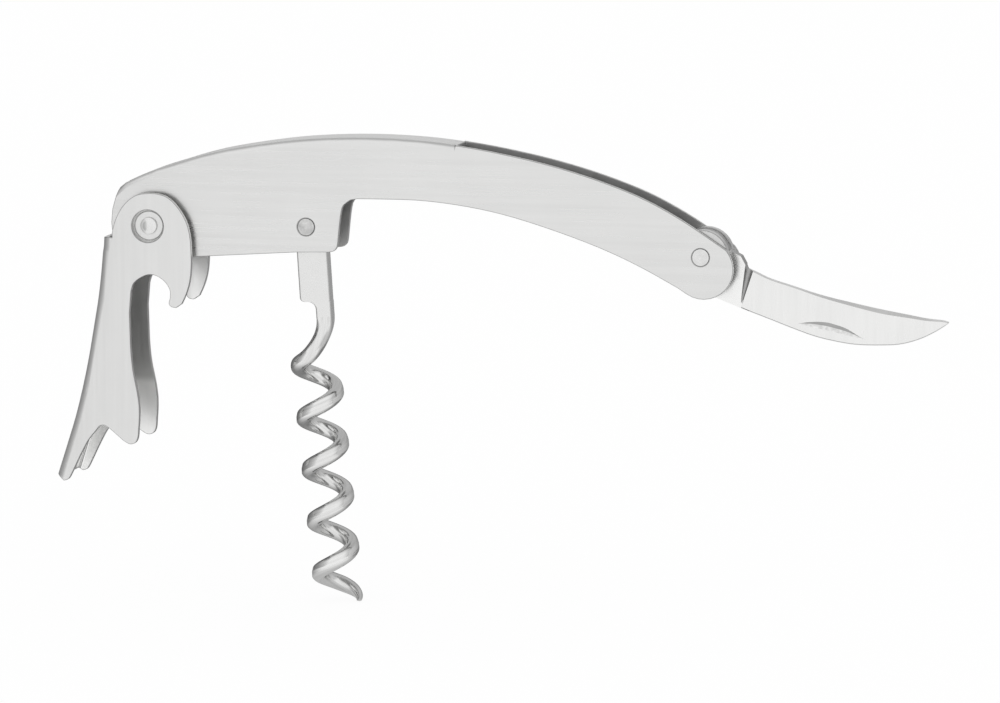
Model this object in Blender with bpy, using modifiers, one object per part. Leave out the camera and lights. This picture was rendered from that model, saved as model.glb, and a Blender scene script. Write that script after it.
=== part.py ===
"""Waiter's lever corkscrew: a folded sheet handle with a bottle lever, a worm and a foil knife.

The drawing plane is x to the right and z up, seen from the front (-y). Its zero is the axis of
the lever's rivet, and y = 0 is the middle of the handle. At the end the whole tool is moved so
that the centre of its box is the world's origin. Lengths are in metres.
"""
import math

import bpy
import bmesh
from mathutils import Matrix, Vector

MM = 0.001
DEGREE = math.pi / 180

# Fits
FACE_GAP = 0.25 * MM        # between flat faces that touch
BORE_CLEARANCE = 0.1 * MM   # radial, round a pin
OVERRUN = 2.0 * MM          # how far a cutter passes through a face
ROUND_SIDES = 32
CURVE_STEPS = 4             # straight pieces between two points of a smooth outline
WELD_DISTANCE = 0.001 * MM

# Handle: one folded sheet, open below; its spine ends where the knife's slot begins
HANDLE_LENGTH = 119.6 * MM
HANDLE_WIDTH = 9.4 * MM
HANDLE_SHEET = 0.9 * MM
HANDLE_BEND_RADIUS = 1.2 * MM
CROWN_RISE = 17.3 * MM       # lever rivet up to the highest point of the spine
LEVER_RIVET_INSET = 7.7 * MM  # left end of the handle to the lever rivet
WORM_INSET = 4.3 * MM        # worm rivet to the foot of the step in the underside
WORM_PIVOT_RISE = 0.3 * MM
KNIFE_INSET = 6.6 * MM       # knife rivet to the right end of the handle
KNIFE_PIVOT_DROP = 3.6 * MM
SLOT_SPARE = 0.5 * MM        # the slot runs on past the folded blade's point
LEVER_TO_SPINE_START = -4.4 * MM
TAIL_RADIUS = 5.65 * MM      # round end of the handle, past the knife rivet
TAIL_OFFSET_X = 0.5 * MM
TAIL_OFFSET_Z = -2.2 * MM
TAIL_TOP = 50                # degrees, where the round end begins and where it stops
TAIL_FOOT = -122
NOSE_RADIUS = 6.7 * MM       # round end below the lever rivet
NOSE_RISE = 0.3 * MM

# Lever: one folded sheet, open towards the worm
LEVER_REACH = 49.0 * MM      # lever rivet down to the prongs' tips
LEVER_SHEET = 1.0 * MM
LEVER_SIDE_GAP = 1.4 * MM    # between the handle's cheek and the lever's, outside the dish
LEVER_WIDTH = HANDLE_WIDTH + 2 * (LEVER_SIDE_GAP + LEVER_SHEET)
LEVER_BEND_RADIUS = 1.6 * MM
DISH_RADIUS = 3.1 * MM
DISH_FLOOR_RADIUS = 2.75 * MM
DISH_WALL = 0.6 * MM

# Rivets
RIVET_RADIUS = 1.3 * MM
RIVET_HEAD_RADIUS = 1.6 * MM
RIVET_HEAD_GAP = 0.1 * MM
LEVER_HEAD_EDGE = 0.3 * MM
DOME_RISE = 0.5 * MM
COUNTERSINK_DEPTH = 0.35 * MM
FLUSH_DOME_RISE = 0.3 * MM

# Worm: a flat shank that turns into a right-handed coil
WORM_TILT = 3.65 * DEGREE    # of the shank
SHANK_WIDTH = 5.8 * MM
SHANK_THICKNESS = 3.4 * MM
SHANK_EDGE = 0.4 * MM
HEEL_RISE = 3.9 * MM
SHOULDER_DROP = 14.5 * MM
NECK_DROP = 17.5 * MM
NECK_OFFSET = 1.5 * MM
WIRE_RADIUS = 1.5 * MM
COIL_RADIUS = 4.88 * MM      # outside
COIL_OFFSET = -0.93 * MM     # coil's axis from the middle of the shank, at its first left side
COIL_LEAN = 1.95 * DEGREE    # of the coil's axis from the shank
COIL_PITCH = 9.91 * MM
FIRST_LEFT_DROP = 27.07 * MM  # worm rivet down to where the coil first turns back at the left
TURNS_BELOW_FIRST_LEFT = 4.52
LEAD_TURN_SHARE = 0.16       # of a turn above that place, where the coil takes over from the neck
TIP_TURN_SHARE = 0.3         # of a turn, which tapers to the point
TIP_RADIUS_SHARE = 0.28
LEAD_PULL = 10.5 * MM        # how strongly the neck's curve keeps its direction at both ends
POINTS_PER_TURN = 24
NECK_POINTS = 10

# Knife: sickle blade with a nail nick
BLADE_LENGTH = 45.8 * MM     # knife rivet to the point, along x
BLADE_THICKNESS = 2.0 * MM
TANG_THICKNESS = 2.6 * MM
TANG_RADIUS = 4.8 * MM
EDGE_GRIND = 0.8 * MM
NICK_DEPTH = 0.45 * MM

# Spacers
WORM_SPACER_RADIUS = 2.9 * MM
KNIFE_SPACER_RADIUS = 5.0 * MM

# Back spring, loose in the channel between the spine, the worm's heel and the knife's tang
SPRING_THICKNESS = 0.8 * MM
SPRING_SIDE_GAP = 0.35 * MM
SPRING_TANG_ANGLE = -140 * DEGREE
SPRING_SEAT_GAP = 0.3 * MM

# Outlines as shares; see the function that uses each one for the sizes that it follows
SPINE_SHARES = [(0.015, 0.43), (0.055, 0.56), (0.098, 0.665), (0.170, 0.812), (0.255, 0.919),
                (0.330, 0.978), (0.415, 1.0), (0.500, 0.980), (0.570, 0.927), (0.640, 0.846),
                (0.710, 0.740), (0.780, 0.601), (0.850, 0.422), (0.910, 0.209), (0.963, -0.023),
                (1.010, -0.240)]
NOSE_SHARES = [(0.0017, 0.16), (0.0055, 0.255), (0.0097, 0.345), (0.014, 0.405), (0.021, 0.455),
               (0.031, 0.505)]
UNDERSIDE_SHARES = [(0.9085, -0.543), (0.850, -0.330), (0.786, -0.135),
                    (0.707, 0.055), (0.630, 0.205), (0.560, 0.292), (0.490, 0.336),
                    (0.400, 0.336)]
STEP_SHARES = [(0.388, 0.322), (0.377, 0.265), (0.373, 0.190), (0.370, 0.035), (0.3675, -0.14),
               (0.3655, -0.205), (0.360, -0.242), (0.352, -0.253)]
BELLY_SHARES = [(0.300, -0.262), (0.193, -0.312), (0.110, -0.350)]

WEB_SHARES = [(-0.175, 0.20), (-0.18, -0.05), (-0.186, -0.11), (-0.194, -0.196), (-0.206, -0.290),
              (-0.223, -0.390), (-0.245, -0.514), (-0.271, -0.635), (-0.302, -0.755),
              (-0.339, -0.871), (-0.371, -0.971), (-0.423, -1.12)]
LEVER_HEAD_SHARES = [(-0.142, -0.047), (-0.14, -0.018), (-0.126, 0.027), (-0.103, 0.069),
                     (-0.072, 0.102), (-0.036, 0.122), (0.009, 0.1275), (0.05, 0.124),
                     (0.087, 0.108), (0.122, 0.073), (0.152, 0.024), (0.1675, -0.031),
                     (0.1725, -0.092), (0.1725, -0.157), (0.166, -0.212), (0.152, -0.259),
                     (0.134, -0.298)]
HOOK_SHARES = [(0.111, -0.314), (0.091, -0.310), (0.082, -0.296), (0.087, -0.275),
               (0.086, -0.245), (0.0705, -0.218), (0.046, -0.198), (0.019, -0.188),
               (-0.007, -0.190), (-0.038, -0.206), (-0.058, -0.2245), (-0.0675, -0.253)]
LEG_SHARES = [(-0.0745, -0.337), (-0.0725, -0.408), (-0.07, -0.484), (-0.062, -0.563),
              (-0.046, -0.643), (-0.0385, -0.698), (-0.038, -0.745), (-0.0405, -0.785),
              (-0.044, -0.822), (-0.055, -0.843), (-0.0785, -0.849), (-0.105, -0.835)]
NOTCH_SHARES = [(-0.134, -0.810), (-0.169, -0.783), (-0.185, -0.7785), (-0.199, -0.784),
                (-0.217, -0.806), (-0.242, -0.837), (-0.268, -0.884), (-0.295, -0.939),
                (-0.315, -0.980), (-0.3255, -0.994), (-0.343, -1.0)]
PRONG_END_SHARES = [(-0.364, -0.982), (-0.433, -0.925)]
LEVER_OUTSIDE_SHARES = [(-0.433, -0.80), (-0.263, -0.047)]

BLADE_TOP_SHARES = [(0.212, -0.063), (0.271, -0.0895), (0.365, -0.118), (0.483, -0.153),
                    (0.600, -0.179), (0.718, -0.203), (0.834, -0.223), (0.910, -0.236),
                    (0.980, -0.2425)]
BLADE_POINT_SHARE = (1.0, -0.253)
BLADE_BACK_SHARES = [(0.980, -0.2685), (0.941, -0.2925), (0.882, -0.321), (0.806, -0.343),
                     (0.718, -0.3495), (0.631, -0.3495), (0.555, -0.3405), (0.461, -0.321),
                     (0.367, -0.290), (0.266, -0.253), (0.188, -0.225), (0.129, -0.201),
                     (0.048, -0.170)]
TANG_SHOULDER_SHARES = [(0.107, 0.024), (0.153, 0.0), (0.188, -0.063)]
PLUNGE_FOOT_SHARE = (0.155, -0.2115)
NICK_SHARES = [(0.386, -0.2685), (0.421, -0.260), (0.461, -0.2575), (0.500, -0.260),
               (0.531, -0.266), (0.596, -0.286), (0.666, -0.3275)]


def remove_everything():
    for item in list(bpy.data.objects):
        bpy.data.objects.remove(item)
    for item in list(bpy.data.collections):
        bpy.data.collections.remove(item)


def new_collection(name):
    collection = bpy.data.collections.new(name)
    bpy.context.scene.collection.children.link(collection)
    return collection


def metal(name, colour, roughness):
    material = bpy.data.materials.new(name)
    material.use_nodes = True
    shader = material.node_tree.nodes["Principled BSDF"]
    shader.inputs["Base Color"].default_value = (*colour, 1.0)
    shader.inputs["Metallic"].default_value = 1.0
    shader.inputs["Roughness"].default_value = roughness
    material.diffuse_color = (*colour, 1.0)
    return material


# Outline helpers, in the drawing plane

def scaled(shares, length, height, start=0.0):
    """Points at shares of a length and a height, the length counted from start."""
    return [(start + along * length, up * height) for along, up in shares]


def smooth(points, steps=CURVE_STEPS):
    """A Catmull-Rom curve through the points."""
    line = []
    for index in range(len(points) - 1):
        before = Vector(points[max(index - 1, 0)])
        start = Vector(points[index])
        end = Vector(points[index + 1])
        after = Vector(points[min(index + 2, len(points) - 1)])
        for step in range(steps):
            t = step / steps
            line.append(tuple(0.5 * (2 * start + (end - before) * t
                                     + (2 * before - 5 * start + 4 * end - after) * t ** 2
                                     + (3 * start - before - 3 * end + after) * t ** 3)))
    line.append(tuple(points[-1]))
    return line


def arc(centre, radius, start, end, steps):
    """Points on a circle from one angle in degrees to another."""
    turn = [(start + (end - start) * step / steps) * DEGREE for step in range(steps + 1)]
    return [(centre[0] + radius * math.cos(a), centre[1] + radius * math.sin(a)) for a in turn]


def beside(line, distance):
    """The line moved sideways, to the left of its direction for a positive distance."""
    moved = []
    for index, point in enumerate(line):
        before = Vector(line[max(index - 1, 0)])
        after = Vector(line[min(index + 1, len(line) - 1)])
        direction = (after - before).normalized()
        moved.append((point[0] - direction.y * distance, point[1] + direction.x * distance))
    return moved


# Solids

def add_object(name, mesh, collection, material=None):
    item = bpy.data.objects.new(name, mesh)
    collection.objects.link(item)
    if material:
        mesh.materials.append(material)
    return item


def mesh_from_curve(name, curve, turn):
    """The curve's evaluated mesh, with its caps welded, turned into the drawing plane."""
    guide = bpy.data.objects.new(name, curve)
    bpy.context.scene.collection.objects.link(guide)
    graph = bpy.context.evaluated_depsgraph_get()
    mesh = bpy.data.meshes.new_from_object(guide.evaluated_get(graph))
    bpy.data.objects.remove(guide)
    mesh.transform(turn)
    mesh.name = name
    shape = bmesh.new()
    shape.from_mesh(mesh)
    bmesh.ops.remove_doubles(shape, verts=shape.verts, dist=WELD_DISTANCE)
    bmesh.ops.recalc_face_normals(shape, faces=shape.faces)
    return mesh, shape


def across(width):
    """The y of the front and rear face of a piece that is centred on the tool."""
    return (-width / 2, width / 2)


def plate(name, outline, faces, collection, material=None):
    """A closed outline of the drawing plane, between the y of its front and rear face."""
    front, rear = faces
    curve = bpy.data.curves.new(name, "CURVE")
    curve.dimensions = "2D"
    curve.fill_mode = "BOTH"
    curve.extrude = (rear - front) / 2
    spline = curve.splines.new("POLY")
    spline.points.add(len(outline) - 1)
    for point, (x, z) in zip(spline.points, outline):
        point.co = (x, z, 0.0, 1.0)
    spline.use_cyclic_u = True
    mesh, shape = mesh_from_curve(name, curve, Matrix.Rotation(90 * DEGREE, 4, "X"))
    for vertex in shape.verts:
        vertex.co.y = front if vertex.co.y < 0 else rear
    inside_caps = [edge for edge in shape.edges
                   if len(edge.link_faces) == 2
                   and all(abs(face.normal.y) > 0.999 for face in edge.link_faces)]
    bmesh.ops.dissolve_edges(shape, edges=inside_caps)
    shape.to_mesh(mesh)
    shape.free()
    return add_object(name, mesh, collection, material)


def turned(name, profile, collection, material=None):
    """A profile of (radius, y) pairs turned round the y axis, closed where its ends meet it."""
    mesh = bpy.data.meshes.new(name)
    mesh.from_pydata([(radius, 0.0, along) for radius, along in profile],
                     [(i, i + 1) for i in range(len(profile) - 1)], [])
    item = add_object(name, mesh, bpy.context.scene.collection)
    screw = item.modifiers.new("Turn", "SCREW")
    screw.angle = 360 * DEGREE
    screw.steps = ROUND_SIDES
    screw.render_steps = ROUND_SIDES
    screw.use_merge_vertices = True
    screw.merge_threshold = WELD_DISTANCE
    graph = bpy.context.evaluated_depsgraph_get()
    result = bpy.data.meshes.new_from_object(item.evaluated_get(graph))
    bpy.data.objects.remove(item)
    shape = bmesh.new()
    shape.from_mesh(result)
    bmesh.ops.remove_doubles(shape, verts=shape.verts, dist=WELD_DISTANCE)
    bmesh.ops.recalc_face_normals(shape, faces=shape.faces)
    bmesh.ops.rotate(shape, verts=shape.verts, matrix=Matrix.Rotation(-90 * DEGREE, 3, "X"))
    shape.to_mesh(result)
    shape.free()
    result.name = name
    return add_object(name, result, collection, material)


def round_edges(item, radius, segments):
    bevel = item.modifiers.new("Round edges", "BEVEL")
    bevel.width = radius
    bevel.segments = segments
    bevel.limit_method = "ANGLE"
    bevel.angle_limit = 60 * DEGREE


def round_bend(item, radius, segments, on_bend):
    """Round the edges along the sheet whose ends are on the bend, and no other edge."""
    weights = item.data.attributes.new("bevel_weight_edge", "FLOAT", "EDGE")
    for edge in item.data.edges:
        start, end = (item.data.vertices[index].co for index in edge.vertices)
        if abs(start.y - end.y) < WELD_DISTANCE and on_bend(start) and on_bend(end):
            weights.data[edge.index].value = 1.0
    bevel = item.modifiers.new("Round bend", "BEVEL")
    bevel.width = radius
    bevel.segments = segments
    bevel.limit_method = "WEIGHT"
    bevel.use_clamp_overlap = False


def combine(item, other, operation):
    boolean = item.modifiers.new(other.name, "BOOLEAN")
    boolean.operation = operation
    boolean.object = other
    boolean.solver = "EXACT"


def cutter(item):
    item.hide_render = True
    item.display_type = "WIRE"
    return item


def shade(item):
    item.data.shade_smooth()
    item.data.set_sharp_from_angle(angle=35 * DEGREE)


# Places

RIGHT_END = HANDLE_LENGTH - LEVER_RIVET_INSET
STEP_FOOT = STEP_SHARES[-1][0] * HANDLE_LENGTH - LEVER_RIVET_INSET
LEVER_PIVOT = (0.0, 0.0)
WORM_PIVOT = (STEP_FOOT - WORM_INSET, WORM_PIVOT_RISE)
KNIFE_PIVOT = (RIGHT_END - KNIFE_INSET, -KNIFE_PIVOT_DROP)
SLOT_START = KNIFE_PIVOT[0] - BLADE_LENGTH - SLOT_SPARE
CHANNEL_WIDTH = HANDLE_WIDTH - 2 * HANDLE_SHEET
LEVER_INSIDE = LEVER_WIDTH - 2 * LEVER_SHEET
DISH_DEPTH = (LEVER_INSIDE - HANDLE_WIDTH) / 2 - FACE_GAP


def spine_line():
    points = scaled(SPINE_SHARES, HANDLE_LENGTH, CROWN_RISE, -LEVER_RIVET_INSET)
    return smooth(points)


def underside_line():
    return smooth(scaled(UNDERSIDE_SHARES, HANDLE_LENGTH, CROWN_RISE, -LEVER_RIVET_INSET))


def tail_line():
    centre = (KNIFE_PIVOT[0] + TAIL_OFFSET_X, KNIFE_PIVOT[1] + TAIL_OFFSET_Z)
    return arc(centre, TAIL_RADIUS, TAIL_TOP, TAIL_FOOT, 15)


def cheek_outline(top):
    """Side view of the handle, closed above by the line given."""
    def place(shares):
        return scaled(shares, HANDLE_LENGTH, CROWN_RISE, -LEVER_RIVET_INSET)

    nose_centre = (NOSE_RADIUS - LEVER_RIVET_INSET, NOSE_RISE)
    nose = arc(nose_centre, NOSE_RADIUS, 262, 180, 8)
    front = smooth(place(NOSE_SHARES), 2)
    step = smooth(place(STEP_SHARES), 2)
    belly = smooth(place(BELLY_SHARES))
    return nose + front + top + tail_line() + underside_line() + step + belly


def pin_bore(name, place, length, radius, cutters):
    profile = [(0.0, length / 2), (radius, length / 2), (radius, -length / 2), (0.0, -length / 2)]
    bore = cutter(turned(name, profile, cutters))
    bore.location = (place[0], 0.0, place[1])
    return bore


def countersunk_bore(name, place, cutters):
    """The bore of a rivet whose ends are spread flush with the handle's cheeks."""
    bore = RIVET_RADIUS + BORE_CLEARANCE
    mouth = RIVET_HEAD_RADIUS + BORE_CLEARANCE
    face = HANDLE_WIDTH / 2
    outside = face + OVERRUN
    half = [(bore, face - COUNTERSINK_DEPTH), (mouth, face), (mouth, outside), (0.0, outside)]
    profile = half[::-1] + [(radius, -along) for radius, along in half]
    item = cutter(turned(name, profile, cutters))
    item.location = (place[0], 0.0, place[1])
    return item


def bend_waste(line, cutters):
    """What folding takes off beside the spine, as far as the slot, clear of the flat faces."""
    clear = FACE_GAP / 10
    top = [point for point in beside(line, clear) if point[0] < SLOT_START + 2 * OVERRUN]
    far_below = -2 * CROWN_RISE
    folded = cutter(plate("folded_blank", top + [(top[-1][0], far_below), (top[0][0], far_below)],
                          across(HANDLE_WIDTH + 2 * clear), cutters))
    round_bend(folded, HANDLE_BEND_RADIUS, 4, lambda spot: spot.z > 0)
    left, right = top[0][0] - OVERRUN, SLOT_START - FACE_GAP
    above = 2 * CROWN_RISE
    waste = cutter(plate("bend_waste", [(left, 0.0), (left, above), (right, above), (right, 0.0)],
                         across(HANDLE_WIDTH + 2 * OVERRUN), cutters))
    combine(waste, folded, "DIFFERENCE")
    return waste


def make_handle(parts, cutters, material):
    spine = spine_line()
    far_below = -2 * CROWN_RISE
    blank_line = [(spine[0][0] - OVERRUN, spine[0][1] - OVERRUN)] + spine[1:]
    blank_outline = (blank_line
                     + [(spine[-1][0] + OVERRUN, spine[-1][1] - OVERRUN),
                        (spine[-1][0] + OVERRUN, far_below), (spine[0][0] - OVERRUN, far_below)])
    handle = plate("handle_shell", blank_outline, across(HANDLE_WIDTH), parts, material)

    corner = scaled(NOSE_SHARES[-1:], HANDLE_LENGTH, CROWN_RISE, -LEVER_RIVET_INSET)[0][0]
    tail_start = tail_line()[0][0]
    above = [(x, z + OVERRUN) for x, z in spine if corner + OVERRUN < x < tail_start - OVERRUN]
    side = cutter(plate("handle_side", cheek_outline(above), across(HANDLE_WIDTH + 2 * OVERRUN),
                        cutters))
    combine(handle, side, "INTERSECT")
    combine(handle, bend_waste(blank_line, cutters), "DIFFERENCE")

    through = HANDLE_WIDTH + 2 * OVERRUN
    combine(handle, pin_bore("lever_rivet_bore", LEVER_PIVOT, through,
                             RIVET_RADIUS + BORE_CLEARANCE, cutters), "DIFFERENCE")
    combine(handle, countersunk_bore("worm_rivet_bore", WORM_PIVOT, cutters), "DIFFERENCE")
    combine(handle, countersunk_bore("knife_rivet_bore", KNIFE_PIVOT, cutters), "DIFFERENCE")

    inner_line = beside(spine, -HANDLE_SHEET)
    hollow_outline = ([(inner_line[0][0] - 4 * OVERRUN, inner_line[0][1] - 2 * OVERRUN)]
                      + inner_line[1:]
                      + [(inner_line[-1][0] + 4 * OVERRUN, far_below - OVERRUN),
                         (inner_line[0][0] - 4 * OVERRUN, far_below - OVERRUN)])
    hollow = cutter(plate("handle_hollow", hollow_outline, across(CHANNEL_WIDTH), cutters))
    round_edges(hollow, HANDLE_BEND_RADIUS - HANDLE_SHEET, 2)

    top = 2 * CROWN_RISE
    slot_end = HANDLE_LENGTH + OVERRUN
    slot = cutter(plate("knife_slot", [(SLOT_START, far_below), (SLOT_START, top),
                                       (slot_end, top), (slot_end, far_below)],
                        across(CHANNEL_WIDTH), cutters))
    combine(hollow, slot, "UNION")
    open_end = -2 * LEVER_RIVET_INSET
    nose_gap = cutter(plate("nose_gap", [(open_end, far_below), (open_end, top),
                                         (LEVER_TO_SPINE_START, top),
                                         (LEVER_TO_SPINE_START, far_below)],
                            across(CHANNEL_WIDTH), cutters))
    combine(hollow, nose_gap, "UNION")
    combine(handle, hollow, "DIFFERENCE")
    return handle


def make_lever(parts, cutters, material):
    web = smooth(scaled(WEB_SHARES, LEVER_REACH, LEVER_REACH))
    right = LEVER_REACH / 2
    blank_outline = web + [(right, web[-1][1]), (right, web[0][1])]
    lever = plate("lever", blank_outline, across(LEVER_WIDTH), parts, material)
    round_bend(lever, LEVER_BEND_RADIUS, 4, lambda spot: spot.x < 0)

    runs = [smooth(scaled(LEVER_HEAD_SHARES, LEVER_REACH, LEVER_REACH)),
            smooth(scaled(HOOK_SHARES, LEVER_REACH, LEVER_REACH)),
            smooth(scaled(LEG_SHARES, LEVER_REACH, LEVER_REACH)),
            smooth(scaled(NOTCH_SHARES, LEVER_REACH, LEVER_REACH)),
            scaled(PRONG_END_SHARES, LEVER_REACH, LEVER_REACH),
            scaled(LEVER_OUTSIDE_SHARES, LEVER_REACH, LEVER_REACH)]
    outline = [point for run in runs for point in run]
    side = cutter(plate("lever_side", outline, across(LEVER_WIDTH + 2 * OVERRUN), cutters))
    combine(lever, side, "INTERSECT")

    inner_web = beside(web, LEVER_SHEET)
    above = web[0][1] + 2 * OVERRUN
    below = web[-1][1] - 2 * OVERRUN
    far_right = right + 2 * OVERRUN
    hollow_outline = ([(inner_web[0][0], above)] + inner_web + [(inner_web[-1][0], below),
                                                                (far_right, below),
                                                                (far_right, above)])
    hollow = cutter(plate("lever_hollow", hollow_outline, across(LEVER_INSIDE), cutters))
    round_edges(hollow, LEVER_BEND_RADIUS - LEVER_SHEET, 2)
    combine(lever, hollow, "DIFFERENCE")

    outer_face = LEVER_WIDTH / 2
    inner_face = LEVER_INSIDE / 2
    floor = outer_face - DISH_DEPTH
    boss_end = floor - LEVER_SHEET
    inside_sheet = inner_face + LEVER_SHEET / 2
    wall = DISH_WALL
    for name, sign in (("front", -1), ("rear", 1)):
        boss_profile = [(0.0, sign * boss_end), (DISH_FLOOR_RADIUS + wall, sign * boss_end),
                        (DISH_RADIUS + wall, sign * inner_face),
                        (DISH_RADIUS + wall, sign * inside_sheet), (0.0, sign * inside_sheet)]
        boss = cutter(turned(name + "_boss", boss_profile, cutters))
        combine(lever, boss, "UNION")
        dish_profile = [(0.0, sign * floor), (DISH_FLOOR_RADIUS, sign * floor),
                        (DISH_RADIUS, sign * outer_face),
                        (DISH_RADIUS, sign * (outer_face + OVERRUN)),
                        (0.0, sign * (outer_face + OVERRUN))]
        dish = cutter(turned(name + "_dish", dish_profile, cutters))
        combine(lever, dish, "DIFFERENCE")
    combine(lever, pin_bore("lever_bore", LEVER_PIVOT, LEVER_WIDTH + 2 * OVERRUN,
                            RIVET_RADIUS + BORE_CLEARANCE, cutters), "DIFFERENCE")
    return lever


def dome(radius, base, rise, steps=4):
    """Profile of a shallow round end, from its middle out to its rim."""
    angles = [90 * DEGREE * step / steps for step in range(steps + 1)]
    return [(radius * math.sin(a), base + rise * math.cos(a)) for a in angles]


def make_lever_rivet(parts, material):
    floor = LEVER_WIDTH / 2 - DISH_DEPTH
    head_base = floor + RIVET_HEAD_GAP
    end = dome(RIVET_HEAD_RADIUS, head_base + LEVER_HEAD_EDGE, DOME_RISE)
    half = end + [(RIVET_HEAD_RADIUS, head_base), (RIVET_RADIUS, head_base)]
    profile = half + [(radius, -along) for radius, along in half[::-1]]
    return turned("lever_rivet", profile, parts, material)


def make_flush_rivet(name, place, parts, material):
    """A rivet whose ends are spread into the countersinks of the handle's cheeks."""
    face = HANDLE_WIDTH / 2
    end = dome(RIVET_HEAD_RADIUS, face, FLUSH_DOME_RISE)
    half = end + [(RIVET_RADIUS, face - COUNTERSINK_DEPTH)]
    profile = half + [(radius, -along) for radius, along in half[::-1]]
    rivet = turned(name, profile, parts, material)
    rivet.location = (place[0], 0.0, place[1])
    return rivet


def make_spacer(name, place, radius, tang, side_sign, parts, material):
    """A washer that fills the channel between a tang and one cheek."""
    inner = tang / 2 + FACE_GAP
    outer = CHANNEL_WIDTH / 2 - FACE_GAP
    bore = RIVET_RADIUS + BORE_CLEARANCE
    profile = [(bore, inner), (bore, outer), (radius, outer), (radius, inner), (bore, inner)]
    spacer = turned(name, [(r, side_sign * along) for r, along in profile], parts, material)
    spacer.location = (place[0], 0.0, place[1])
    return spacer


# Worm, drawn hanging straight down from its rivet

def coil_point(turns_down):
    """A point of the coil's middle line, by turns below its first left side, and its radius."""
    total = TURNS_BELOW_FIRST_LEFT
    left = max(0.0, total - turns_down)
    share = min(1.0, left / TIP_TURN_SHARE)
    taper = TIP_RADIUS_SHARE + (1 - TIP_RADIUS_SHARE) * math.sin(share * 90 * DEGREE)
    wire = WIRE_RADIUS * taper
    swing = COIL_RADIUS - WIRE_RADIUS - (wire - WIRE_RADIUS) / 2
    angle = 180 * DEGREE - turns_down * 360 * DEGREE
    down = turns_down * COIL_PITCH
    return (Vector((COIL_OFFSET + swing * math.cos(angle) + down * math.tan(COIL_LEAN),
                    swing * math.sin(angle), -FIRST_LEFT_DROP - down)), wire)


def worm_line():
    """Middle line of the wire from inside the shank to the point, with its radius."""
    neck_wire = SHANK_THICKNESS / 2 - FACE_GAP / 4
    neck = Vector((NECK_OFFSET, 0.0, -NECK_DROP))
    coil_start, coil_wire = coil_point(-LEAD_TURN_SHARE)
    nearby, _ = coil_point(-LEAD_TURN_SHARE + 0.01)
    down = Vector((0.0, 0.0, -1.0)) * LEAD_PULL
    onward = (nearby - coil_start).normalized() * LEAD_PULL
    line = [(Vector((NECK_OFFSET, 0.0, -SHOULDER_DROP + SHANK_THICKNESS)), neck_wire)]
    for step in range(NECK_POINTS):
        t = step / NECK_POINTS
        place = ((2 * t ** 3 - 3 * t ** 2 + 1) * neck + (t ** 3 - 2 * t ** 2 + t) * down
                 + (3 * t ** 2 - 2 * t ** 3) * coil_start + (t ** 3 - t ** 2) * onward)
        line.append((place, neck_wire + (coil_wire - neck_wire) * min(1.0, 2 * t)))
    turns = LEAD_TURN_SHARE + TURNS_BELOW_FIRST_LEFT
    count = round(turns * POINTS_PER_TURN)
    line += [coil_point(-LEAD_TURN_SHARE + turns * step / count) for step in range(count + 1)]
    return line


def least_gap_of_turns(line):
    """The least distance between the wire's surface and itself, half a turn or more away."""
    least = COIL_PITCH
    apart = POINTS_PER_TURN // 2
    for index, (place, wire) in enumerate(line):
        for other, other_wire in line[index + apart:]:
            least = min(least, (place - other).length - wire - other_wire)
    return least


def make_worm(parts, cutters, material):
    line = worm_line()
    curve = bpy.data.curves.new("worm", "CURVE")
    curve.dimensions = "3D"
    curve.bevel_depth = WIRE_RADIUS
    curve.bevel_resolution = 3
    curve.use_fill_caps = True
    spline = curve.splines.new("POLY")
    spline.points.add(len(line) - 1)
    for point, (place, wire) in zip(spline.points, line):
        point.co = (*place, 1.0)
        point.radius = wire / WIRE_RADIUS
    mesh, shape = mesh_from_curve("worm", curve, Matrix.Identity(4))
    shape.to_mesh(mesh)
    shape.free()
    worm = add_object("worm", mesh, parts, material)
    print("least gap between the worm's turns: %.2f mm" % (least_gap_of_turns(line) / MM))

    half = SHANK_WIDTH / 2
    heel = half / 2
    wire_edge = NECK_OFFSET - SHANK_THICKNESS / 2 + FACE_GAP
    outer_edge = NECK_OFFSET + SHANK_THICKNESS / 2 - FACE_GAP
    shoulder = SHANK_THICKNESS / 4
    outline = (arc((-half + heel, HEEL_RISE - heel), heel, 180, 90, 4)
               + arc((half - heel, HEEL_RISE - heel), heel, 90, 0, 4)
               + [(half, -SHOULDER_DROP + shoulder), (outer_edge, -SHOULDER_DROP - shoulder),
                  (outer_edge, -NECK_DROP + shoulder), (wire_edge, -NECK_DROP + shoulder),
                  (wire_edge, -SHOULDER_DROP - shoulder)]
               + arc((wire_edge - shoulder, -SHOULDER_DROP - shoulder), shoulder, 0, 90, 4)[1:]
               + [(-half + shoulder, -SHOULDER_DROP), (-half, -SHOULDER_DROP + shoulder)])
    shank = cutter(plate("worm_shank", outline, across(SHANK_THICKNESS), cutters))
    round_edges(shank, SHANK_EDGE, 2)
    combine(worm, shank, "UNION")
    bore = pin_bore("worm_bore", LEVER_PIVOT, SHANK_THICKNESS + 2 * OVERRUN,
                    RIVET_RADIUS + BORE_CLEARANCE, cutters)
    combine(worm, bore, "DIFFERENCE")
    for item in (worm, shank, bore):
        item.location = (WORM_PIVOT[0], 0.0, WORM_PIVOT[1])
        item.rotation_euler = (0.0, -WORM_TILT, 0.0)
    return worm


# Knife, drawn round its rivet

def tang_outline():
    """The tang's round heel, its shoulder and the plunge line where the blade begins."""
    shoulder = scaled(TANG_SHOULDER_SHARES, BLADE_LENGTH, BLADE_LENGTH)
    foot = scaled([PLUNGE_FOOT_SHARE, BLADE_BACK_SHARES[-1]], BLADE_LENGTH, BLADE_LENGTH)
    return arc((0.0, 0.0), TANG_RADIUS, 234, 45, 16) + shoulder + foot


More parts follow.
